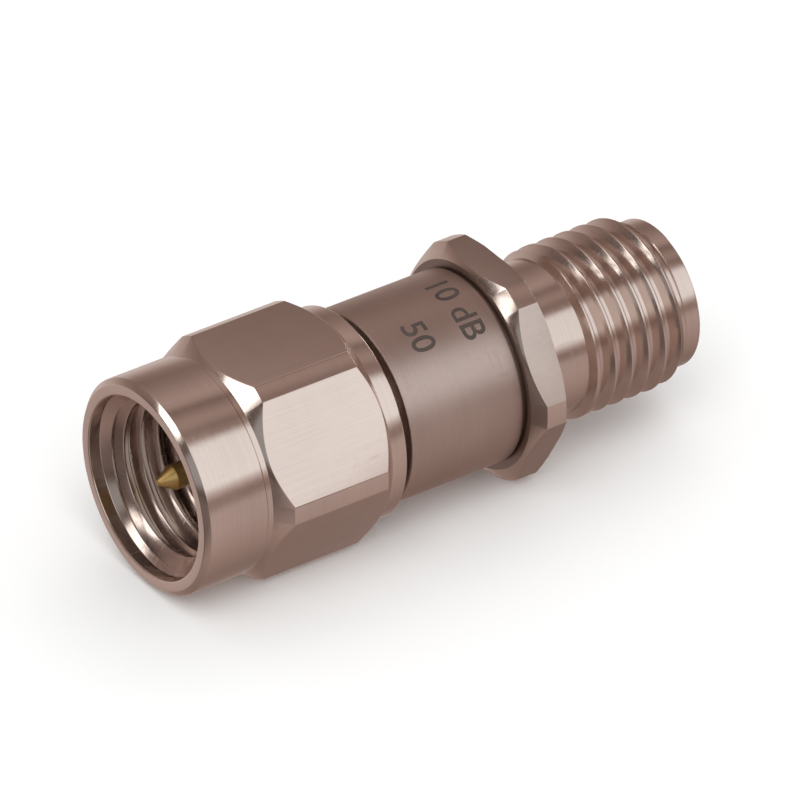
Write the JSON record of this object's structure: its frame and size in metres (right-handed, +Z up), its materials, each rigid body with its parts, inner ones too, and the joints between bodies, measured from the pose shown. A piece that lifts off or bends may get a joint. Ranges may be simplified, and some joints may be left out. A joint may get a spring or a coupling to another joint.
{
  "type": "rf attenuator",
  "caption": "Coaxial attenuator with a hexagonal coupling nut and pin at one end, a plain barrel, a thin wrench flange and a threaded socket at the other end.",
  "frame": {"origin": "middle of the length, on the bench, under the connector's axis", "axes": "+X along the connector's axis from the plug to the jack, +Z up, two hexagon flats facing down and up"},
  "size_m": [0.0216, 0.0088, 0.008],
  "materials": {
    "stainless_steel": "fine turned stainless steel with a warm tint",
    "spring_steel": "plain spring steel",
    "gold_plate": "gold plated copper alloy",
    "holder_brass": "turned brass",
    "insulator_white": "waxy white fluoroplastic",
    "gasket_rubber": "soft silicone rubber",
    "card_ceramic": "fired alumina",
    "resistive_film": "dark printed film",
    "terminal_silver": "fired silver"
  },
  "bodies": {
    "housing": {"plug_shell": "stainless_steel", "plug_pin": "gold_plate", "plug_dielectric_front": "insulator_white", "plug_dielectric_rear": "insulator_white", "barrel_sleeve": "stainless_steel", "card_holder_upper": "holder_brass", "card_holder_lower": "holder_brass", "attenuator_card": "card_ceramic", "resistor_film": "resistive_film", "input_terminal": "terminal_silver", "output_terminal": "terminal_silver", "ground_strip_left": "terminal_silver", "ground_strip_right": "terminal_silver", "wave_washer": "spring_steel", "jack_body": "stainless_steel", "jack_socket": "gold_plate", "jack_dielectric_front": "insulator_white", "jack_dielectric_rear": "insulator_white"},
    "ring": {"retaining_ring": "spring_steel"},
    "nut": {"coupling_nut": "stainless_steel", "nut_gasket": "gasket_rubber"}
  },
  "joints": [
    {"name": "nut_float", "type": "slide", "parent": "housing", "child": "ring", "axis": [1, 0, 0], "range_m": [-0.00045, 0.0001]},
    {"name": "nut_spin", "type": "hinge", "parent": "ring", "child": "nut", "pos_m": [-0.0065, 0, 0.004], "axis": [1, 0, 0], "continuous": true}
  ]
}
